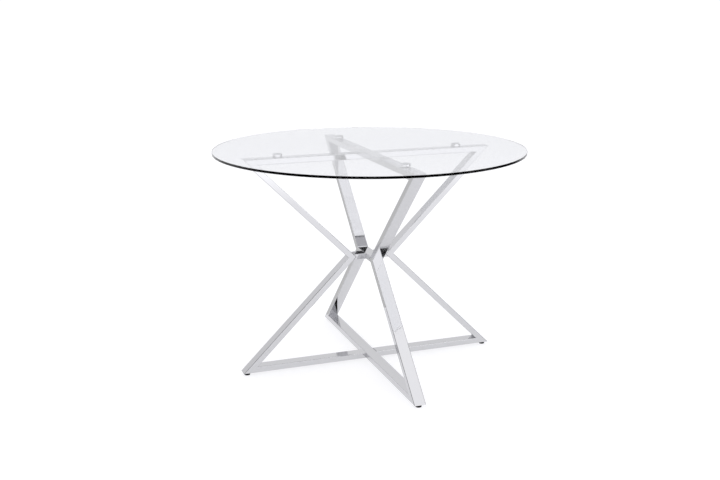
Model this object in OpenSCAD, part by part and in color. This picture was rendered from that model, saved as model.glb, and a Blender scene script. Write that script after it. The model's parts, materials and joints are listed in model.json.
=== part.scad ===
// Round glass-topped dining table on a crossed, waisted frame of rectangular steel tube.
// Millimetres, +Z up. Origin: on the floor, under the middle of the table.
// The main frame lies along Y, from front (-Y) to back (+Y). The cross frame lies along X and is
// two halves, left (-X) and right (+X), that butt on the sides of the main frame.

/* [Overall] */
// Height from the floor to the top of the glass
table_h = 760; // [720:5:800]
// Diameter of the glass top
glass_d = 1060; // [1000:10:1200]
// Thickness of the glass
glass_t = 8; // [6:1:12]
// Width of the ground chamfer on both edges of the glass rim
glass_arris = 1; // [0.5:0.1:1.5]

/* [Frame tube] */
// Wide side of the tube, across the plane of its frame
tube_w = 40; // [34:1:50]
// Narrow side of the tube, in the plane of its frame
tube_t = 20; // [18:1:24]
// Wall of the tube
tube_wall = 1.5; // [1.2:0.1:1.8]
// Outer corner radius of the tube
tube_corner_r = 2; // [2:0.25:3]

/* [Frame outline] */
// Length of a top rail, from outer corner to outer corner
top_spread = 882; // [760:2:960]
// Length of a bottom rail, from outer corner to outer corner
bottom_spread = 926; // [780:2:1000]
// Width of the waist, from outer apex to outer apex
waist_spread = 166; // [140:2:210]
// Height of the waist above the floor
waist_z = 386; // [330:2:430]
// Gap left at the butt joints between the cross frame and the main frame
joint_gap = 0.4; // [0.2:0.1:1]

/* [Glass supports] */
// Diameter of a spacer
spacer_d = 32; // [26:1:34]
// Height of a spacer
spacer_h = 10.5; // [8:0.5:20]
// Chamfer on the edges of a spacer
spacer_edge = 0.8; // [0.4:0.1:1.5]
// Thickness of the soft pad between the spacer and the glass
pad_t = 1.5; // [1:0.25:3]
// How much smaller the pad is than the flat top of the spacer, on the diameter
pad_step = 1; // [0.5:0.5:3]
// Distance from the middle of the table to the middle of a spacer
spacer_reach = 322; // [240:2:360]

/* [Fasteners] */
// Diameter of the machine screws
screw_d = 6; // [5:0.5:6]
// Diameter of a screw head
screw_head_d = 10.5; // [9:0.5:11]
// Height of a screw head
screw_head_h = 3.3; // [2.5:0.1:4]
// Hexagon key size of the screws
screw_key = 4; // [3:0.5:4]
// Depth of the key socket
screw_key_depth = 2; // [1.5:0.1:2.2]
// Clearance round a screw where it passes through a wall
screw_clearance = 0.3; // [0.2:0.1:0.5]
// How deep the screws enter what they hold
screw_grip = 8; // [5:0.5:9]

/* [Connector bars] */
// Width of a bar
bar_w = 30; // [24:1:30]
// Thickness of a bar
bar_t = 12; // [10:0.5:12]
// How far a bar reaches into a long rail of the cross frame
bar_reach = 50; // [40:1:70]
// How far the waist bar stops short of the legs
bar_end_gap = 6; // [4:1:10]
// Clearance round a bar in the slots of the main frame
bar_clearance = 0.2; // [0.1:0.1:0.5]

/* [Levelling feet] */
// Diameter of a foot pad
foot_d = 20; // [18:1:24]
// Height of a foot pad
foot_pad_h = 7.4; // [6:0.2:10]
// Chamfer at the bottom and the top of a foot pad
foot_chamfer = 1.2; // [0.5:0.1:1.5]
// Distance from the outer corner of a bottom rail to the middle of a foot
foot_inset = 16; // [15:1:30]
// Diameter of a foot stud
stud_d = 6; // [5:0.5:6]
// Height of the hexagon collar on a stud
collar_h = 2.2; // [1.8:0.2:4]
// Width across the flats of the collar
collar_af = 10; // [9:0.5:12]
// Gap between a collar and the pad that it turns on
swivel_gap = 0.3; // [0.2:0.1:0.5]
// Gap left above the collar when the foot is screwed right in
stop_gap = 0.1; // [0.05:0.05:0.3]
// Diameter of the stud's pivot in the pad
pivot_d = 5; // [4:0.5:5]
// Depth of the stud's pivot in the pad
pivot_depth = 4.5; // [3:0.5:5]
// Diameter of a weld nut
nut_d = 10; // [9:0.5:11]
// Height of a weld nut
nut_h = 5.5; // [4:0.5:6]
// How far a stud stands out of its weld nut when the foot is screwed right in
stud_end = 2.5; // [1.5:0.5:2.5]
// Radial clearance of a stud in its nut and of its pivot in the pad
stud_clearance = 0.05; // [0.02:0.01:0.1]

/* [Hidden] */
$fn = 64;

// Direction of each end of the frames, as the angle from +X
right_side = 0;
back_side = 90;
left_side = 180;
front_side = 270;
all_sides = [right_side, back_side, left_side, front_side];

// Heights
foot_h = foot_pad_h + swivel_gap + collar_h + stop_gap;
bottom_z = foot_h;
top_z = table_h - glass_t - pad_t - spacer_h;
waist_rail_z = waist_z - tube_t / 2;
foot_reach = bottom_spread / 2 - foot_inset;

// Outline of one end of a frame, as [distance from the axis, height]
waist_tip = [waist_spread / 2, waist_z];
top_tip = [top_spread / 2, top_z];
bottom_tip = [bottom_spread / 2, bottom_z];

// Point at a given height on the line through p with direction d
function at_height(p, d, z) = p + d * ((z - p.y) / d.y);
// Point where the line through p with direction d meets the line through q with direction e
function meeting(p, d, q, e) = p + d * (((q.x - p.x) * e.y - (q.y - p.y) * e.x) / (d.x * e.y - d.y * e.x));
function unit(v) = v / norm(v);

// Directions of the legs, from the waist outwards, and the same lines on the inner faces
upper_dir = unit(top_tip - waist_tip);
lower_dir = unit(bottom_tip - waist_tip);
upper_inner = waist_tip + [-upper_dir.y, upper_dir.x] * tube_t;
lower_inner = waist_tip + [lower_dir.y, -lower_dir.x] * tube_t;

// Inner corners of the frame
waist_inner = meeting(upper_inner, upper_dir, lower_inner, lower_dir);
top_inner = at_height(upper_inner, upper_dir, top_z - tube_t);
bottom_inner = at_height(lower_inner, lower_dir, bottom_z + tube_t);

// The cross frame stops this far from the axis
butt = tube_w / 2 + joint_gap;
// Half length of the waist bar
waist_bar_reach = waist_inner.x - bar_end_gap;
// Places of the connector screws along a bar, measured from the middle screw
long_bar_screw = tube_w / 2 + bar_reach / 2;
waist_bar_screw = (butt + waist_bar_reach) / 2;
// How much further than the tube the cutting shapes reach
over = 3;
// Chamfer at the end of every thread
thread_point = 0.6;
// Smallest corner radius inside the tube
least_inner_r = 0.3;

module rounded_rectangle(w, h, r) {
    square([w - 2 * r, h], center = true);
    square([w, h - 2 * r], center = true);
    for (x = [-1, 1], y = [-1, 1])
        translate([x * (w / 2 - r), y * (h / 2 - r)]) circle(r);
}

// Straight hollow tube whose centreline runs from a to b, longer than needed at both ends
module tube_run(a, b) {
    inner_r = max(tube_corner_r - tube_wall, least_inner_r);
    spare = 2 * tube_t;
    run = b - a;
    translate([a.x, 0, a.y])
        rotate([0, atan2(run.x, run.y), 0])
            translate([0, 0, -spare])
                linear_extrude(norm(run) + 2 * spare)
                    difference() {
                        rounded_rectangle(tube_t, tube_w, tube_corner_r);
                        rounded_rectangle(tube_t - 2 * tube_wall, tube_w - 2 * tube_wall, inner_r);
                    }
}

// Point on the line from p to q, a little past q
function past(p, q) = q + unit(q - p) * over;

// Tube whose two ends are cut along the lines from outer to inner corner
module cut_tube(outer_a, inner_a, outer_b, inner_b) {
    intersection() {
        tube_run((outer_a + inner_a) / 2, (outer_b + inner_b) / 2);
        rotate([90, 0, 0])
            linear_extrude(tube_w + over, center = true)
                polygon([past(inner_a, outer_a), past(inner_b, outer_b),
                         past(outer_b, inner_b), past(outer_a, inner_a)]);
    }
}

module chrome() {
    color("silver") children();
}

module upper_leg(side) {
    chrome() rotate(side) cut_tube(waist_tip, waist_inner, top_tip, top_inner);
}

module lower_leg(side) {
    chrome() rotate(side) cut_tube(bottom_tip, bottom_inner, waist_tip, waist_inner);
}

function mirrored(p) = [-p.x, p.y];

// Clearance hole for a vertical screw, from z up
module screw_hole(z, depth) {
    translate([0, 0, z]) cylinder(d = screw_d + 2 * screw_clearance, h = depth);
}

// Slot that a connector bar passes through, in a rail whose lower face is at z
module bar_slot(z) {
    translate([-tube_w / 2 - over, -bar_w / 2 - bar_clearance, z + tube_wall])
        cube([tube_w + 2 * over, bar_w + 2 * bar_clearance, bar_t + bar_clearance]);
}

// Hole in the lower wall of a bottom rail for a foot stud
module foot_hole() {
    translate([foot_reach, 0, bottom_z - over])
        cylinder(d = stud_d + 2 * screw_clearance, h = tube_wall + over + over / 2);
}

module main_top_rail() {
    chrome() difference() {
        rotate(back_side) cut_tube(mirrored(top_tip), mirrored(top_inner), top_tip, top_inner);
        bar_slot(top_z - tube_t);
        screw_hole(top_z - tube_t - over, 2 * over);
        for (side = [front_side, back_side])
            rotate(side) translate([spacer_reach, 0, 0]) screw_hole(top_z - tube_t - over, tube_t + 2 * over);
    }
}

module main_bottom_rail() {
    chrome() difference() {
        rotate(back_side)
            cut_tube(mirrored(bottom_tip), mirrored(bottom_inner), bottom_tip, bottom_inner);
        bar_slot(bottom_z);
        screw_hole(bottom_z - over, 2 * over);
        for (side = [front_side, back_side]) rotate(side) foot_hole();
    }
}

// Pointed end of a waist rail, which fits between the inner faces of the legs: lower corner,
// tip and upper corner
waist_end = [
    at_height(lower_inner, lower_dir, waist_rail_z - over),
    waist_inner,
    at_height(upper_inner, upper_dir, waist_rail_z + tube_t + over)
];

// Waist rail with a pointed end, whose other end is shaped by the points in other_end
module waist_tube(other_end) {
    intersection() {
        tube_run([other_end[0].x, waist_z], [waist_inner.x, waist_z]);
        rotate([90, 0, 0])
            linear_extrude(tube_w + over, center = true)
                polygon(concat(waist_end, other_end));
    }
}

module main_waist_rail() {
    chrome() difference() {
        rotate(back_side) waist_tube([for (i = [2, 1, 0]) mirrored(waist_end[i])]);
        bar_slot(waist_rail_z);
        screw_hole(waist_rail_z - over, 2 * over);
    }
}

module half_waist_rail(side) {
    chrome() rotate(side) difference() {
        waist_tube([[butt, waist_end[2].y], [butt, waist_end[0].y]]);
        translate([waist_bar_screw, 0, 0]) screw_hole(waist_rail_z - over, 2 * over);
    }
}

module half_top_rail(side) {
    chrome() rotate(side) difference() {
        cut_tube([butt, top_z], [butt, top_z - tube_t], top_tip, top_inner);
        translate([long_bar_screw, 0, 0]) screw_hole(top_z - tube_t - over, 2 * over);
        translate([spacer_reach, 0, 0]) screw_hole(top_z - tube_t - over, tube_t + 2 * over);
    }
}

module half_bottom_rail(side) {
    chrome() rotate(side) difference() {
        cut_tube([butt, bottom_z], [butt, bottom_z + tube_t], bottom_tip, bottom_inner);
        translate([long_bar_screw, 0, 0]) screw_hole(bottom_z - over, 2 * over);
        foot_hole();
    }
}

// Solid bar that lies on the lower wall of the rails, through the main rail and into both halves
module connector_bar(z, reach, screw_x) {
    color("dimgray") difference() {
        translate([-reach, -bar_w / 2, z + tube_wall]) cube([2 * reach, bar_w, bar_t]);
        for (x = [-screw_x, 0, screw_x])
            translate([x, 0, z + tube_wall - over])
                cylinder(d = screw_d + 2 * stud_clearance, h = screw_grip + over + stud_clearance);
    }
}

// Button-headed screw that enters upwards; its head bears on a face at z = 0
module button_screw(length) {
    r = screw_d / 2;
    head_r = screw_head_d / 2;
    crown_r = head_r - screw_head_h / 2;
    difference() {
        rotate_extrude()
            polygon([[0, -screw_head_h], [crown_r, -screw_head_h], [head_r, -screw_head_h / 3], [head_r, 0],
                     [r, 0], [r, length - thread_point], [r - thread_point, length], [0, length]]);
        translate([0, 0, -screw_head_h - 1])
            cylinder(d = screw_key / cos(30), h = screw_key_depth + 1, $fn = 6);
    }
}

module bar_screws(z, screw_x) {
    for (x = [-screw_x, 0, screw_x])
        translate([x, 0, z]) button_screw(tube_wall + screw_grip);
}

module connector_screws() {
    color("gray") {
        bar_screws(top_z - tube_t, long_bar_screw);
        bar_screws(waist_rail_z, waist_bar_screw);
        bar_screws(bottom_z, long_bar_screw);
    }
}

module spacer(side) {
    r = spacer_d / 2;
    rim = r - spacer_edge;
    chrome() rotate(side) translate([spacer_reach, 0, top_z]) difference() {
        rotate_extrude()
            polygon([[0, 0], [rim, 0], [r, spacer_edge], [r, spacer_h - spacer_edge], [rim, spacer_h],
                     [0, spacer_h]]);
        translate([0, 0, -over])
            cylinder(d = screw_d + 2 * stud_clearance, h = screw_grip + over + stud_clearance);
    }
}

module spacer_pad(side) {
    color("dimgray") rotate(side) translate([spacer_reach, 0, top_z + spacer_h])
        cylinder(d = spacer_d - 2 * spacer_edge - pad_step, h = pad_t);
}

module spacer_screws() {
    color("gray") for (side = all_sides)
        rotate(side) translate([spacer_reach, 0, top_z - tube_t]) button_screw(tube_t + screw_grip);
}

module glass_top() {
    r = glass_d / 2;
    color("lightcyan", 0.4) translate([0, 0, table_h - glass_t])
        rotate_extrude($fn = 180)
            polygon([[0, 0], [r - glass_arris, 0], [r, glass_arris],
                     [r, glass_t - glass_arris], [r - glass_arris, glass_t], [0, glass_t]]);
}

module foot_pad(side) {
    r = foot_d / 2;
    color([0.06, 0.06, 0.06]) rotate(side) translate([foot_reach, 0, 0]) difference() {
        rotate_extrude()
            polygon([[0, 0], [r - foot_chamfer, 0], [r, foot_chamfer], [r, foot_pad_h - foot_chamfer],
                     [r - foot_chamfer, foot_pad_h], [0, foot_pad_h]]);
        translate([0, 0, foot_pad_h - pivot_depth])
            cylinder(d = pivot_d + 2 * stud_clearance, h = pivot_depth + over);
    }
}

module foot_stud(side) {
    r = stud_d / 2;
    pivot_z = foot_pad_h - pivot_depth + swivel_gap;
    collar_z = foot_pad_h + swivel_gap;
    thread_z = collar_z + collar_h;
    thread_h = bottom_z + tube_wall + nut_h + stud_end - thread_z;
    color("gray") rotate(side) translate([foot_reach, 0, 0]) {
        translate([0, 0, pivot_z]) cylinder(d = pivot_d, h = collar_z - pivot_z);
        translate([0, 0, collar_z]) cylinder(d = collar_af / cos(30), h = collar_h, $fn = 6);
        translate([0, 0, thread_z]) rotate_extrude()
            polygon([[0, 0], [r, 0], [r, thread_h - thread_point], [r - thread_point, thread_h],
                     [0, thread_h]]);
    }
}

module foot_weld_nuts() {
    color("gray") for (side = all_sides)
        rotate(side) translate([foot_reach, 0, bottom_z + tube_wall]) difference() {
            cylinder(d = nut_d, h = nut_h);
            translate([0, 0, -over]) cylinder(d = stud_d + 2 * stud_clearance, h = nut_h + 2 * over);
        }
}

glass_top();
main_top_rail();
main_waist_rail();
main_bottom_rail();
upper_leg(front_side);  // front_upper_leg
lower_leg(front_side);  // front_lower_leg
upper_leg(back_side);  // back_upper_leg
lower_leg(back_side);  // back_lower_leg
half_top_rail(left_side);  // left_top_rail
upper_leg(left_side);  // left_upper_leg
half_waist_rail(left_side);  // left_waist_rail
lower_leg(left_side);  // left_lower_leg
half_bottom_rail(left_side);  // left_bottom_rail
half_top_rail(right_side);  // right_top_rail
upper_leg(right_side);  // right_upper_leg
half_waist_rail(right_side);  // right_waist_rail
lower_leg(right_side);  // right_lower_leg
half_bottom_rail(right_side);  // right_bottom_rail
connector_bar(top_z - tube_t, tube_w / 2 + bar_reach, long_bar_screw);  // top_connector_bar
connector_bar(waist_rail_z, waist_bar_reach, waist_bar_screw);  // waist_connector_bar
connector_bar(bottom_z, tube_w / 2 + bar_reach, long_bar_screw);  // bottom_connector_bar
connector_screws();
spacer(front_side);  // front_spacer
spacer(back_side);  // back_spacer
spacer(left_side);  // left_spacer
spacer(right_side);  // right_spacer
spacer_pad(front_side);  // front_spacer_pad
spacer_pad(back_side);  // back_spacer_pad
spacer_pad(left_side);  // left_spacer_pad
spacer_pad(right_side);  // right_spacer_pad
spacer_screws();
foot_pad(front_side);  // front_foot_pad
foot_pad(back_side);  // back_foot_pad
foot_pad(left_side);  // left_foot_pad
foot_pad(right_side);  // right_foot_pad
foot_stud(front_side);  // front_foot_stud
foot_stud(back_side);  // back_foot_stud
foot_stud(left_side);  // left_foot_stud
foot_stud(right_side);  // right_foot_stud
foot_weld_nuts();
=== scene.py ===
import json
import math

import bmesh
import bpy
from mathutils import Matrix, Vector


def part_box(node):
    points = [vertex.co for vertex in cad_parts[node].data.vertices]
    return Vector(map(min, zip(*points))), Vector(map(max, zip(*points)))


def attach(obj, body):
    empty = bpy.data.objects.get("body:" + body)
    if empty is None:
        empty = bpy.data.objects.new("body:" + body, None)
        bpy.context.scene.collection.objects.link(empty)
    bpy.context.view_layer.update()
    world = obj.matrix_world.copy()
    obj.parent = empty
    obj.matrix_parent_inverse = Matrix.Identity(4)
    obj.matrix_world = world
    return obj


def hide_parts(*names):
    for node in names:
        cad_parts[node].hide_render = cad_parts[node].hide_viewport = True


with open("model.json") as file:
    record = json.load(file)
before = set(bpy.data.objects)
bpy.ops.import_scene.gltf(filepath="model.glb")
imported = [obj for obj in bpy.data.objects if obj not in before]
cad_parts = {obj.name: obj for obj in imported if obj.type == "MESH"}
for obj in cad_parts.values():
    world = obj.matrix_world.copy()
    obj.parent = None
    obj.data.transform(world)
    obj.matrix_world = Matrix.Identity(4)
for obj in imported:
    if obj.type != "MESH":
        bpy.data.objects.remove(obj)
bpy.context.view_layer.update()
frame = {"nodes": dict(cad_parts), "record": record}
mm = 0.001
same = 1e-6    # metres, closer than this is the same place
print("frame loaded:", len(frame["nodes"]), "nodes")


def toLinear(hexColour):
    # sRGB hex to the linear colour that the shader wants
    parts = [int(hexColour[i:i + 2], 16) / 255 for i in (1, 3, 5)]
    linear = [p / 12.92 if p <= 0.04045 else ((p + 0.055) / 1.055) ** 2.4 for p in parts]
    return tuple(linear) + (1.0,)


def addNode(tree, kind, inputs=None, **settings):
    # one node, its settings, then its inputs: a socket is linked, anything else is a value
    made = tree.nodes.new(kind)
    for name, value in settings.items():
        setattr(made, name, value)
    for name, value in (inputs or {}).items():
        if isinstance(value, bpy.types.NodeSocket):
            tree.links.new(value, made.inputs[name])
        else:
            made.inputs[name].default_value = value
    return made


def newMaterial(name):
    made = bpy.data.materials.new(name)
    made.use_nodes = True
    made.node_tree.nodes.clear()
    output = addNode(made.node_tree, "ShaderNodeOutputMaterial")
    return made, made.node_tree, output


# product view from the front left, a little above the glass
cameraLook = {
    "distance": 3.2506,   # from the table's axis, on the floor plan
    "height": 1.2693,
    "bearing": -20.357,   # degrees round from the front
    "turn": 0.569,        # aims this much to the side of the axis
    "tilt": -14.363,
    "roll": -0.148,
    "lens": 48.262,       # mm
    "sensor": 36,         # mm wide
    "reach": 100,         # metres that it sees
}


def makeCamera(look):
    bearing = math.radians(look["bearing"])
    heading = bearing + math.radians(look["turn"])
    tilt = math.radians(look["tilt"])
    place = Vector((math.sin(bearing), -math.cos(bearing), 0)) * look["distance"]
    place.z = look["height"]
    ahead = Vector((-math.sin(heading), math.cos(heading), 0)) * math.cos(tilt)
    ahead.z = math.sin(tilt)
    side = ahead.cross(Vector((0, 0, 1))).normalized()
    up = side.cross(ahead)
    roll = math.radians(look["roll"])
    sideRolled = side * math.cos(roll) + up * math.sin(roll)
    upRolled = up * math.cos(roll) - side * math.sin(roll)
    data = bpy.data.cameras.new("productCamera")
    data.sensor_width = look["sensor"]
    data.lens = look["lens"]
    data.clip_end = look["reach"]
    camera = bpy.data.objects.new("productCamera", data)
    turned = Matrix((sideRolled, upRolled, -ahead)).transposed().to_4x4()
    camera.matrix_world = Matrix.Translation(place) @ turned
    bpy.context.scene.collection.objects.link(camera)
    bpy.context.scene.camera = camera


makeCamera(cameraLook)
bpy.context.scene.view_settings.view_transform = "Standard"
print("camera placed")


# a white studio: walls that brighten upwards, a backlit floor that brightens towards the front,
# two softboxes, and the black flags and the grey mat that only the mirrors see
studioLook = {
    # height as the sine of its angle, light from there
    "wall": [(0.0, 1.06), (0.06, 1.04), (0.15, 0.85), (0.3, 0.92), (0.6, 1.05), (0.85, 1.28),
             (1.0, 1.4)],
    "wallTint": "#FDFDFF",
    "floorColour": "#8C8C8E",
    "floorSize": 400.0,
    # share of the way back, light given off there
    "floorGlow": [(0.0, 1.75), (0.12, 1.5), (0.3, 0.95), (0.6, 0.79), (1.0, 0.79)],
    "floorGlowSpan": (-5.0, 3.0),    # metres along Y, front to back
    # bearing from +Y towards +X and rise above the level, in degrees, seen from the table's waist
    "softboxes": [
        {"bearing": 125, "rise": 62, "distance": 2.9, "width": 2.4, "glow": 0.05},
        {"bearing": 155, "rise": 15, "distance": 3.0, "width": 0.95, "glow": 1.25},
    ],
    "flags": [
        {"bearing": 45, "rise": 63, "distance": 6.0, "width": 4.2, "glow": 0.0,
         "throughGlass": True},
        {"bearing": 250, "rise": 38, "distance": 3.0, "width": 4.6, "glow": 0.1,
         "throughGlass": False},
        {"bearing": 95, "rise": 20, "distance": 3.0, "width": 3.9, "glow": 0.1,
         "throughGlass": False},
        {"bearing": 197, "rise": 14, "distance": 4.0, "width": 1.3, "glow": 0.1,
         "throughGlass": True},
    ],
    "flagEdge": 0.3,                 # the outer share of a flag that fades away
    # the mat: a painted grey glow on a black sheet, which the mirrors show as shade on the floor
    # behind
    "mat": {"centre": (-1.6, 2.2, 0.004), "width": 3.4, "glow": 0.72},
    "black": "#050505",
    "matt": (0.9, 0.1),              # roughness and gloss of cloth, mat and floor
    "waist": 0.38,                   # the height that softboxes and flags face
}


def studioPlace(spot, waist):
    # where a card stands round the table, and the turn that makes its -Z side face the waist
    bearing, rise = math.radians(spot["bearing"]), math.radians(spot["rise"])
    ray = Vector((math.sin(bearing), math.cos(bearing), 0)) * math.cos(rise)
    ray.z = math.sin(rise)
    turn = ray.to_track_quat("Z", "Y").to_matrix().to_4x4()
    return Matrix.Translation(ray * spot["distance"] + Vector((0, 0, waist))) @ turn


def makeSheet(name, width, material):
    sheet = bmesh.new()
    bmesh.ops.create_grid(sheet, x_segments=1, y_segments=1, size=width / 2)
    mesh = bpy.data.meshes.new(name)
    sheet.to_mesh(mesh)
    sheet.free()
    mesh.materials.append(material)
    made = bpy.data.objects.new(name, mesh)
    bpy.context.scene.collection.objects.link(made)
    return made


def setStops(ramp, stops, tint):
    # fills a ramp with tinted lights as shares of the brightest, and gives the brightest back
    brightest = max(light for place, light in stops)
    while len(ramp.elements) < len(stops):
        ramp.elements.new(0.5)
    for stop, (place, light) in zip(ramp.elements, stops):
        stop.position = place
        stop.color = tuple(light / brightest * part for part in toLinear(tint)[:3]) + (1,)
    return brightest


def makeFlagCloth(spot, look):
    # black cloth, round and fading towards its edge, so that nothing mirrors a hard corner
    made, tree, output = newMaterial("blackFlagCloth")
    place = addNode(tree, "ShaderNodeTexCoord").outputs["Object"]
    inside = addNode(tree, "ShaderNodeMapping", {
        "Vector": place, "Scale": (2 / spot["width"],) * 3})
    middle = addNode(tree, "ShaderNodeTexGradient", {
        "Vector": inside.outputs[0]}, gradient_type="SPHERICAL")
    solid = addNode(tree, "ShaderNodeMapRange", {
        "Value": middle.outputs["Fac"], "From Min": 0.0, "From Max": look["flagEdge"]})
    shader = addNode(tree, "ShaderNodeBsdfPrincipled", {
        "Base Color": toLinear(look["black"]), "Roughness": look["matt"][0],
        "Specular IOR Level": look["matt"][1],
        "Alpha": solid.outputs[0], "Emission Color": (1, 1, 1, 1),
        "Emission Strength": spot["glow"]})
    tree.links.new(shader.outputs[0], output.inputs[0])
    return made


def makeMatCloth(look):
    # a black sheet with a painted grey glow, seen only by the mirrors as a painted patch of shade
    # on the floor behind
    made, tree, output = newMaterial("paintedShadeMat")
    shader = addNode(tree, "ShaderNodeBsdfPrincipled", {
        "Base Color": toLinear(look["black"]), "Roughness": look["matt"][0],
        "Specular IOR Level": look["matt"][1],
        "Emission Color": (1, 1, 1, 1), "Emission Strength": look["mat"]["glow"]})
    tree.links.new(shader.outputs[0], output.inputs[0])
    return made


def makeFloorAcrylic(look):
    # white acrylic lit from below: an even white with hardly a shadow
    made, tree, output = newMaterial("backlitWhiteAcrylic")
    place = addNode(tree, "ShaderNodeTexCoord").outputs["Object"]
    back = addNode(tree, "ShaderNodeSeparateXYZ", {"Vector": place}).outputs["Y"]
    front, rear = look["floorGlowSpan"]
    share = addNode(tree, "ShaderNodeMapRange", {
        "Value": back, "From Min": front, "From Max": rear})
    glow = addNode(tree, "ShaderNodeValToRGB", {"Fac": share.outputs[0]})
    strength = setStops(glow.color_ramp, look["floorGlow"], look["wallTint"])
    shader = addNode(tree, "ShaderNodeBsdfPrincipled", {
        "Base Color": toLinear(look["floorColour"]), "Roughness": look["matt"][0],
        "Specular IOR Level": look["matt"][1], "Emission Color": glow.outputs[0],
        "Emission Strength": strength})
    tree.links.new(shader.outputs[0], output.inputs[0])
    return made


def makeWalls(look):
    world = bpy.data.worlds.new("studioWalls")
    world.use_nodes = True
    bpy.context.scene.world = world
    tree = world.node_tree
    ray = addNode(tree, "ShaderNodeTexCoord").outputs["Generated"]
    height = addNode(tree, "ShaderNodeSeparateXYZ", {"Vector": ray}).outputs["Z"]
    light = addNode(tree, "ShaderNodeValToRGB", {"Fac": height})
    tree.links.new(light.outputs[0], tree.nodes["Background"].inputs["Color"])
    strength = setStops(light.color_ramp, look["wall"], look["wallTint"])
    tree.nodes["Background"].inputs["Strength"].default_value = strength


def makeSoftbox(name, spot, waist):
    data = bpy.data.lights.new(name, "AREA")
    data.shape = "SQUARE"
    data.size = spot["width"]
    data.energy = spot["glow"] * math.pi * spot["width"] ** 2
    lamp = bpy.data.objects.new(name, data)
    lamp.matrix_world = studioPlace(spot, waist)
    lamp.visible_camera = False
    bpy.context.scene.collection.objects.link(lamp)


def makeStudio(look):
    makeWalls(look)
    makeSheet("floor", look["floorSize"], makeFloorAcrylic(look))
    for number, spot in enumerate(look["flags"]):
        flag = makeSheet(f"flag{number}", spot["width"], makeFlagCloth(spot, look))
        flag.matrix_world = studioPlace(spot, look["waist"])
        flag.visible_camera = flag.visible_diffuse = flag.visible_shadow = False
        flag.visible_transmission = spot["throughGlass"]
    mat = makeSheet("mat", look["mat"]["width"], makeMatCloth(look))
    mat.matrix_world = Matrix.Translation(look["mat"]["centre"])
    mat.visible_camera = mat.visible_diffuse = mat.visible_shadow = mat.visible_transmission = False
    for number, spot in enumerate(look["softboxes"]):
        makeSoftbox(f"softbox{number}", spot, look["waist"])


makeStudio(studioLook)
print("studio built")


# chrome plate over steel tube, belt ground and buffed along its length: a hard, faintly blue mirror
# with soft finger smudges, a slow ripple in the tube's flats and a trace of lengthwise buffing
chromeLook = {
    "colour": "#CBCBCD",
    "roughness": 0.02,
    "smudge": 45 * mm,            # size of one smudge
    "smudgeSpread": (0.45, 0.8),  # of the noise, from clean to fully smudged
    "smudgeHaze": 0.07,
    "buffWidth": 4 * mm,          # real buffing is far finer; this is coarse enough to show
    "buffLength": 320 * mm,
    "buffHaze": 0.035,
    "buffDepth": (0.004, 1 * mm),    # strength and height of the bump
    "ripple": 70 * mm,
    "rippleDepth": (0.013, 10 * mm),
}


def makeChrome(name, look, along):
    # along is the direction of the buffing, down the length of the tube
    made, tree, output = newMaterial(name)
    place = addNode(tree, "ShaderNodeTexCoord").outputs["Object"]
    turned = addNode(tree, "ShaderNodeMapping", {
        "Vector": place, "Rotation": along.to_track_quat("X", "Z").to_euler(),
        "Scale": (look["buffLength"], look["buffWidth"], look["buffWidth"])}, vector_type="TEXTURE")
    buffing = addNode(tree, "ShaderNodeTexNoise", {
        "Vector": turned.outputs[0], "Scale": 1.0, "Detail": 3.0})
    smudges = addNode(tree, "ShaderNodeTexNoise", {
        "Vector": place, "Scale": 1 / look["smudge"], "Detail": 4.0, "Roughness": 0.6})
    smudged = addNode(tree, "ShaderNodeMapRange", {
        "Value": smudges.outputs[0], "From Min": look["smudgeSpread"][0],
        "From Max": look["smudgeSpread"][1],
        "To Min": look["roughness"], "To Max": look["roughness"] + look["smudgeHaze"]})
    rough = addNode(tree, "ShaderNodeMath", {
        0: buffing.outputs[0], 1: look["buffHaze"], 2: smudged.outputs[0]},
        operation="MULTIPLY_ADD")
    ripple = addNode(tree, "ShaderNodeTexNoise", {
        "Vector": place, "Scale": 1 / look["ripple"], "Detail": 0.0})
    waved = addNode(tree, "ShaderNodeBump", {
        "Height": ripple.outputs[0], "Strength": look["rippleDepth"][0],
        "Distance": look["rippleDepth"][1]})
    grained = addNode(tree, "ShaderNodeBump", {
        "Height": buffing.outputs[0], "Strength": look["buffDepth"][0],
        "Distance": look["buffDepth"][1],
        "Normal": waved.outputs[0]})
    shader = addNode(tree, "ShaderNodeBsdfPrincipled", {
        "Base Color": toLinear(look["colour"]), "Metallic": 1.0, "Roughness": rough.outputs[0],
        "Normal": grained.outputs[0]})
    tree.links.new(shader.outputs[0], output.inputs[0])
    return made


# clear float glass, tempered, its rim ground with a small flat at each edge and polished: an almost
# colourless sheet whose rim looks nearly black, partly because light runs the whole width inside it
# and partly from painted shade, a dark tint that cuts the rim's reflection
glassLook = {
    "absorbs": "#9CAEC8",
    "density": 7.5,           # per metre
    "haze": 0.003,
    "hazePatch": 120 * mm,    # size of a patch of haze left by a cloth
    "hazeSpread": (0.45, 0.8),
    # painted shade: the rim's faces keep only this dim share of their reflection
    "rimPaintedDarkMirror": "#383838",   # how much of its mirror the rim keeps
    "ior": 1.52,
}


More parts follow.
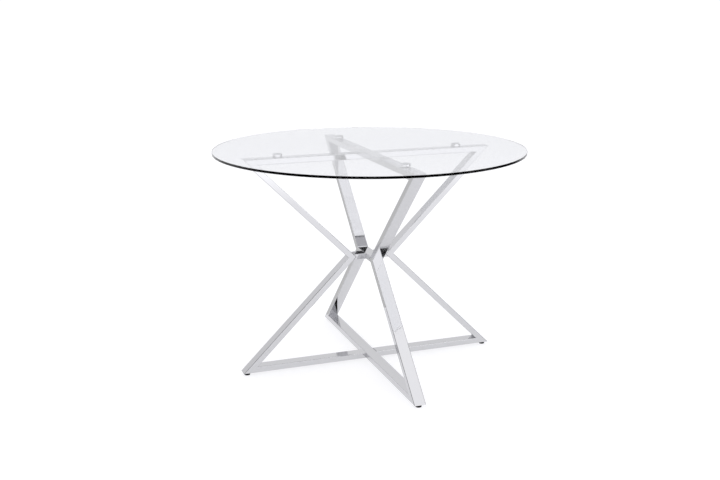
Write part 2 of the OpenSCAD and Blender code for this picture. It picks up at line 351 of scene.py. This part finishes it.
def makeGlass(look):
    made, tree, output = newMaterial("clearFloatGlass")
    place = addNode(tree, "ShaderNodeTexCoord").outputs["Object"]
    haze = addNode(tree, "ShaderNodeTexNoise", {
        "Vector": place, "Scale": 1 / look["hazePatch"], "Detail": 4.0})
    rough = addNode(tree, "ShaderNodeMapRange", {
        "Value": haze.outputs[0], "From Min": look["hazeSpread"][0],
        "From Max": look["hazeSpread"][1],
        "To Min": 0.0, "To Max": look["haze"]})
    rim = addNode(tree, "ShaderNodeAttribute", attribute_name="rim").outputs["Fac"]
    # painted shade on the rim: its reflection is tinted dark wherever the rim attribute is set
    mirror = addNode(tree, "ShaderNodeMix", {
        "Factor": rim, "A": (1, 1, 1, 1), "B": toLinear(look["rimPaintedDarkMirror"])}, data_type="RGBA")
    shader = addNode(tree, "ShaderNodeBsdfPrincipled", {
        "Base Color": (1, 1, 1, 1), "Roughness": rough.outputs[0], "IOR": look["ior"],
        "Transmission Weight": 1.0, "Specular Tint": mirror.outputs["Result"]})
    depth = addNode(tree, "ShaderNodeVolumeAbsorption", {
        "Color": toLinear(look["absorbs"]), "Density": look["density"]})
    tree.links.new(shader.outputs[0], output.inputs["Surface"])
    tree.links.new(depth.outputs[0], output.inputs["Volume"])
    return made


# zinc-plated cold-headed steel with a clear passivate: a duller grey-blue metal, slightly uneven
# and finely grained
zincLook = {
    "pale": "#B9BEC4",
    "dark": "#9CA2AA",
    "patch": 6 * mm,
    "spread": (0.3, 0.7),
    "grain": 0.35 * mm,
    "roughness": (0.26, 0.42),
    "depth": 0.08,
}


def makeZinc(look):
    made, tree, output = newMaterial("zincPlatedSteel")
    place = addNode(tree, "ShaderNodeTexCoord").outputs["Object"]
    patches = addNode(tree, "ShaderNodeTexNoise", {
        "Vector": place, "Scale": 1 / look["patch"], "Detail": 4.0})
    colour = addNode(tree, "ShaderNodeMix", {
        "Factor": patches.outputs[0], "A": toLinear(look["dark"]), "B": toLinear(look["pale"])},
        data_type="RGBA")
    rough = addNode(tree, "ShaderNodeMapRange", {
        "Value": patches.outputs[0], "From Min": look["spread"][0], "From Max": look["spread"][1],
        "To Min": look["roughness"][0], "To Max": look["roughness"][1]})
    grain = addNode(tree, "ShaderNodeTexNoise", {
        "Vector": place, "Scale": 1 / look["grain"], "Detail": 2.0})
    bump = addNode(tree, "ShaderNodeBump", {
        "Height": grain.outputs[0], "Strength": look["depth"], "Distance": look["grain"]})
    shader = addNode(tree, "ShaderNodeBsdfPrincipled", {
        "Base Color": colour.outputs["Result"], "Metallic": 1.0, "Roughness": rough.outputs[0],
        "Normal": bump.outputs[0]})
    tree.links.new(shader.outputs[0], output.inputs[0])
    return made


# cast silicone rubber, unpigmented: a soft, milky, half-clear washer, faintly clouded
siliconeLook = {
    "pale": "#F4F6F7",
    "dark": "#E2E6E9",
    "cloud": 4 * mm,
    "spread": (0.3, 0.7),
    "grain": 0.25 * mm,
    "roughness": (0.25, 0.4),
    "depth": 0.05,
    "clearness": 0.2,
    "ior": 1.41,
}


def makeSilicone(look):
    made, tree, output = newMaterial("milkySiliconeRubber")
    place = addNode(tree, "ShaderNodeTexCoord").outputs["Object"]
    clouds = addNode(tree, "ShaderNodeTexNoise", {
        "Vector": place, "Scale": 1 / look["cloud"], "Detail": 3.0})
    colour = addNode(tree, "ShaderNodeMix", {
        "Factor": clouds.outputs[0], "A": toLinear(look["dark"]), "B": toLinear(look["pale"])},
        data_type="RGBA")
    rough = addNode(tree, "ShaderNodeMapRange", {
        "Value": clouds.outputs[0], "From Min": look["spread"][0], "From Max": look["spread"][1],
        "To Min": look["roughness"][0], "To Max": look["roughness"][1]})
    grain = addNode(tree, "ShaderNodeTexNoise", {
        "Vector": place, "Scale": 1 / look["grain"], "Detail": 1.0})
    bump = addNode(tree, "ShaderNodeBump", {
        "Height": grain.outputs[0], "Strength": look["depth"], "Distance": look["grain"]})
    shader = addNode(tree, "ShaderNodeBsdfPrincipled", {
        "Base Color": colour.outputs["Result"], "Roughness": rough.outputs[0], "IOR": look["ior"],
        "Transmission Weight": look["clearness"], "Normal": bump.outputs[0]})
    tree.links.new(shader.outputs[0], output.inputs[0])
    return made


# injection-moulded black nylon from a spark-eroded mould: a fine pebbled satin, scuffed grey
# where it slides
nylonLook = {
    "colour": "#08080A",
    "scuffed": "#1E1E20",
    "scuffHeight": 0.8 * mm,  # above the floor
    "scuff": 1.5 * mm,
    "pebble": 0.3 * mm,
    "roughness": (0.45, 0.6),
    "fullyScuffed": 0.6,
    "gloss": 0.2,             # the pebbled skin sends back less than a smooth one
    "depth": 0.25,
    "ior": 1.53,
}


def makeNylon(look):
    made, tree, output = newMaterial("blackMouldedNylon")
    place = addNode(tree, "ShaderNodeTexCoord").outputs["Object"]
    height = addNode(tree, "ShaderNodeSeparateXYZ", {"Vector": place}).outputs["Z"]
    low = addNode(tree, "ShaderNodeMapRange", {
        "Value": height, "From Min": 0.0, "From Max": look["scuffHeight"], "To Min": 1.0,
        "To Max": 0.0})
    marks = addNode(tree, "ShaderNodeTexNoise", {
        "Vector": place, "Scale": 1 / look["scuff"], "Detail": 5.0})
    worn = addNode(tree, "ShaderNodeMath", {
        0: low.outputs[0], 1: marks.outputs[0]}, operation="MULTIPLY")
    colour = addNode(tree, "ShaderNodeMix", {
        "Factor": worn.outputs[0], "A": toLinear(look["colour"]), "B": toLinear(look["scuffed"])},
        data_type="RGBA")
    rough = addNode(tree, "ShaderNodeMapRange", {
        "Value": worn.outputs[0], "From Min": 0.0, "From Max": look["fullyScuffed"],
        "To Min": look["roughness"][0], "To Max": look["roughness"][1]})
    pebbles = addNode(tree, "ShaderNodeTexVoronoi", {"Vector": place, "Scale": 1 / look["pebble"]})
    bump = addNode(tree, "ShaderNodeBump", {
        "Height": pebbles.outputs["Distance"], "Strength": look["depth"],
        "Distance": look["pebble"] / 4})
    shader = addNode(tree, "ShaderNodeBsdfPrincipled", {
        "Base Color": colour.outputs["Result"], "Roughness": rough.outputs[0], "IOR": look["ior"],
        "Specular IOR Level": look["gloss"], "Normal": bump.outputs[0]})
    tree.links.new(shader.outputs[0], output.inputs[0])
    return made


clearGlass = makeGlass(glassLook)
turnedChrome = makeChrome("brightChromePlateTurned", chromeLook, Vector((0, 0, 1)))
zincSteel = makeZinc(zincLook)
milkySilicone = makeSilicone(siliconeLook)
blackNylon = makeNylon(nylonLook)
print("materials made")


sharpAngle = math.radians(30)    # faces that meet at more than this keep a crisp edge
edgeAngle = math.radians(40)     # edges flatter than this are not rounded


def finishPiece(name, shape, body, stands, material):
    # turns a finished bmesh into an object that rides on its body and stands for its CAD node
    bmesh.ops.recalc_face_normals(shape, faces=shape.faces)
    mesh = bpy.data.meshes.new(name)
    shape.to_mesh(mesh)
    shape.free()
    mesh.shade_smooth()
    mesh.set_sharp_from_angle(angle=sharpAngle)
    mesh.materials.append(material)
    piece = bpy.data.objects.new(name, mesh)
    bpy.context.scene.collection.objects.link(piece)
    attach(piece, body)
    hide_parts(stands)
    return piece


def roundEdges(shape, heights, width, segments):
    # rounds the level edges that lie at these heights
    level = [e for e in shape.edges
             if any(all(abs(v.co.z - z) < same for v in e.verts) for z in heights)]
    edges = [e for e in level if len(e.link_faces) == 2 and e.calc_face_angle() > edgeAngle]
    bmesh.ops.bevel(shape, geom=edges, offset=width, offset_type="OFFSET", affect="EDGES",
                    segments=segments, profile=0.5, material=-1)


def makeDisc(centre, radius, lower, upper, segments):
    shape = bmesh.new()
    bmesh.ops.create_circle(shape, cap_ends=True, radius=radius, segments=segments,
                            matrix=Matrix.Translation((centre.x, centre.y, lower)))
    raised = bmesh.ops.extrude_face_region(shape, geom=shape.faces[:], use_keep_orig=True)
    newVerts = [v for v in raised["geom"] if isinstance(v, bmesh.types.BMVert)]
    bmesh.ops.translate(shape, vec=(0, 0, upper - lower), verts=newVerts)
    return shape


# the glass top: one round sheet with a flat rim and a small arris above and below it
glassShape = {
    "arris": 1.0 * mm, "segments": 256,
    "rimTilt": 0.3,    # a face whose normal rises by less belongs to the rim
}


def makeGlassTop(shapeOf):
    low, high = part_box("glass_top")
    shape = makeDisc((low + high) / 2, (high.x - low.x) / 2, low.z, high.z, shapeOf["segments"])
    roundEdges(shape, (low.z, high.z), shapeOf["arris"], 1)
    bmesh.ops.recalc_face_normals(shape, faces=shape.faces)
    rim = [float(abs(f.normal.z) < shapeOf["rimTilt"]) for f in shape.faces]
    piece = finishPiece("glassTop", shape, "table", "glass_top", clearGlass)
    piece.data.attributes.new("rim", "FLOAT", "FACE").data.foreach_set("value", rim)


makeGlassTop(glassShape)
print("glass made")


# the glass supports: turned steel discs with a rounded edge above and below, a soft washer on each
spacerShape = {"bevel": 0.8 * mm, "bevelSteps": 3, "segments": 96}
padShape = {
    "round": 0.35 * mm, "roundSteps": 3, "segments": 96,
    "hairGap": 0.03 * mm,    # keeps it clear of the disc and of the glass
}


def makeSpacer(side, shapeOf):
    low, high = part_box(f"{side}_spacer")
    shape = makeDisc((low + high) / 2, (high.x - low.x) / 2, low.z, high.z, shapeOf["segments"])
    roundEdges(shape, (low.z, high.z), shapeOf["bevel"], shapeOf["bevelSteps"])
    finishPiece(f"{side}Spacer", shape, "table", f"{side}_spacer", turnedChrome)


def makePad(side, shapeOf):
    low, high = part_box(f"{side}_spacer_pad")
    lower, upper = low.z + shapeOf["hairGap"], high.z - shapeOf["hairGap"]
    shape = makeDisc((low + high) / 2, (high.x - low.x) / 2, lower, upper, shapeOf["segments"])
    roundEdges(shape, (lower, upper), shapeOf["round"], shapeOf["roundSteps"])
    finishPiece(f"{side}SpacerPad", shape, "table", f"{side}_spacer_pad", milkySilicone)


sides = ("front", "back", "left", "right")
for side in sides:
    makeSpacer(side, spacerShape)
    makePad(side, padShape)
print("glass supports made")


# the feet: moulded glides, drawn as half a section and spun; each pair is a share of the radius
# and of the height
glideShape = {
    "section": [
        # the sole
        (0.0, 0.06), (0.62, 0.06), (0.66, 0.0), (0.90, 0.0), (0.97, 0.03), (1.0, 0.12),
        # the side, with the groove of the mould's seam
        (1.0, 0.44), (0.985, 0.455), (0.985, 0.485), (1.0, 0.5), (0.985, 0.86),
        # the top
        (0.95, 0.95), (0.87, 1.0), (0.45, 1.0), (0.42, 0.97), (0.0, 0.97),
    ],
    "steps": 96,
}


def makeGlide(side, shapeOf):
    low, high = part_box(f"{side}_foot_pad")
    centre, radius, tall = (low + high) / 2, (high.x - low.x) / 2, high.z - low.z
    shape = bmesh.new()
    corners = [shape.verts.new((centre.x + r * radius, centre.y, low.z + h * tall))
               for r, h in shapeOf["section"]]
    edges = [shape.edges.new(pair) for pair in zip(corners, corners[1:])]
    bmesh.ops.spin(shape, geom=corners + edges, cent=(centre.x, centre.y, 0), axis=(0, 0, 1),
                   angle=2 * math.pi, steps=shapeOf["steps"], use_merge=True)
    bmesh.ops.remove_doubles(shape, verts=shape.verts, dist=same)
    finishPiece(f"{side}FootPad", shape, f"{side}_foot", f"{side}_foot_pad",
                blackNylon)


# the studs: a plain pivot in the foot, a six-sided collar for a spanner, and a thread that turns
# in the rail's nut
studShape = {
    "pivotRadius": 2.5 * mm, "pivotSegments": 48,
    "collarAcross": 10.0 * mm, "collarGap": 0.3 * mm, "collarHeight": 2.2 * mm,
    "edge": 0.3 * mm, "edgeSteps": 2,
    "sunk": 0.25 * mm,          # each part runs this far into the next
    "core": 2.45 * mm, "crest": 3.0 * mm, "crestFlat": 0.12 * mm, "pitch": 1.0 * mm,
    "steps": 32,                # to a turn
    "spareTurns": 2,            # past each end of the thread, cut off again
    "leadIn": 0.6 * mm, "leadInShare": 0.16,
}


def makeThread(centre, lower, upper, shapeOf):
    # one tooth of the thread, spun upwards past both ends, then cut level and closed
    shape = bmesh.new()
    pitch, core, crest, flat = (shapeOf[key] for key in ("pitch", "core", "crest", "crestFlat"))
    slope = (pitch - flat) / 2
    start = lower - shapeOf["spareTurns"] * pitch
    turns = math.ceil((upper - lower) / pitch) + 2 * shapeOf["spareTurns"]
    tooth = [(core, 0.0), (crest, slope), (crest, slope + flat), (core, pitch)]
    corners = [shape.verts.new((centre.x + r, centre.y, start + z)) for r, z in tooth]
    edges = [shape.edges.new(pair) for pair in zip(corners, corners[1:])]
    bmesh.ops.spin(shape, geom=corners + edges, cent=(centre.x, centre.y, 0), axis=(0, 0, 1),
                   dvec=(0, 0, pitch / shapeOf["steps"]), angle=2 * math.pi * turns,
                   steps=shapeOf["steps"] * turns, use_merge=False)
    bmesh.ops.remove_doubles(shape, verts=shape.verts, dist=same)
    for height, facing in ((lower, -1), (upper, 1)):
        everything = shape.verts[:] + shape.edges[:] + shape.faces[:]
        bmesh.ops.bisect_plane(shape, geom=everything, dist=same / 10, plane_co=(0, 0, height),
                               plane_no=(0, 0, facing), clear_outer=True)
    bmesh.ops.holes_fill(shape, edges=[e for e in shape.edges if e.is_boundary], sides=0)
    for v in shape.verts:
        share = (v.co.z - (upper - shapeOf["leadIn"])) / shapeOf["leadIn"]
        if share > 0:
            narrow = 1 - shapeOf["leadInShare"] * share
            v.co.x = centre.x + (v.co.x - centre.x) * narrow
            v.co.y = centre.y + (v.co.y - centre.y) * narrow
    return shape


def makeStud(side, shapeOf):
    low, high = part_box(f"{side}_foot_stud")
    centre = (low + high) / 2
    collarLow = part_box(f"{side}_foot_pad")[1].z + shapeOf["collarGap"]
    collarHigh = collarLow + shapeOf["collarHeight"]
    shape = makeThread(centre, collarHigh - shapeOf["sunk"], high.z, shapeOf)
    collarRadius = shapeOf["collarAcross"] / 2 / math.cos(math.radians(30))
    for radius, lower, upper, segments in (
            (collarRadius, collarLow, collarHigh, 6),
            (shapeOf["pivotRadius"], low.z, collarLow + shapeOf["sunk"], shapeOf["pivotSegments"])):
        solid = makeDisc(centre, radius, lower, upper, segments)
        roundEdges(solid, (lower, upper), shapeOf["edge"], shapeOf["edgeSteps"])
        bmesh.ops.recalc_face_normals(solid, faces=solid.faces)
        spare = bpy.data.meshes.new("spare")
        solid.to_mesh(spare)
        solid.free()
        shape.from_mesh(spare)
        bpy.data.meshes.remove(spare)
    finishPiece(f"{side}FootStud", shape, f"{side}_stud", f"{side}_foot_stud",
                zincSteel)


for side in sides:
    makeGlide(side, glideShape)
    makeStud(side, studShape)
print("feet made")


# the rest keeps its CAD shape and takes the finish of its slot; a tube is buffed along its length
def tubeDirection(node):
    low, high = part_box(node)
    span = high - low
    if "rail" in node:
        return Vector((0, 1, 0)) if node.startswith("main") else Vector((1, 0, 0))
    outward = -1 if node.startswith(("front", "left")) else 1
    rising = outward if "upper" in node else -outward
    if node.startswith(("front", "back")):
        return Vector((0, rising * span.y, span.z)).normalized()
    return Vector((rising * span.x, 0, span.z)).normalized()


finishes = {
    "chrome_plate": turnedChrome, "clear_glass": clearGlass, "zinc_plated_steel": zincSteel,
    "soft_pad": milkySilicone, "black_foot": blackNylon,
}
for part in frame["record"]["subparts"]:
    node = frame["nodes"][part["node"]]
    if part["material_slot"] == "chrome_plate" and "spacer" not in part["node"]:
        along = tubeDirection(part["node"])
        finish = makeChrome("brightChromePlate." + part["node"], chromeLook, along)
    else:
        finish = finishes[part["material_slot"]]
    node.data.materials.clear()
    node.data.materials.append(finish)
print("finishes laid")
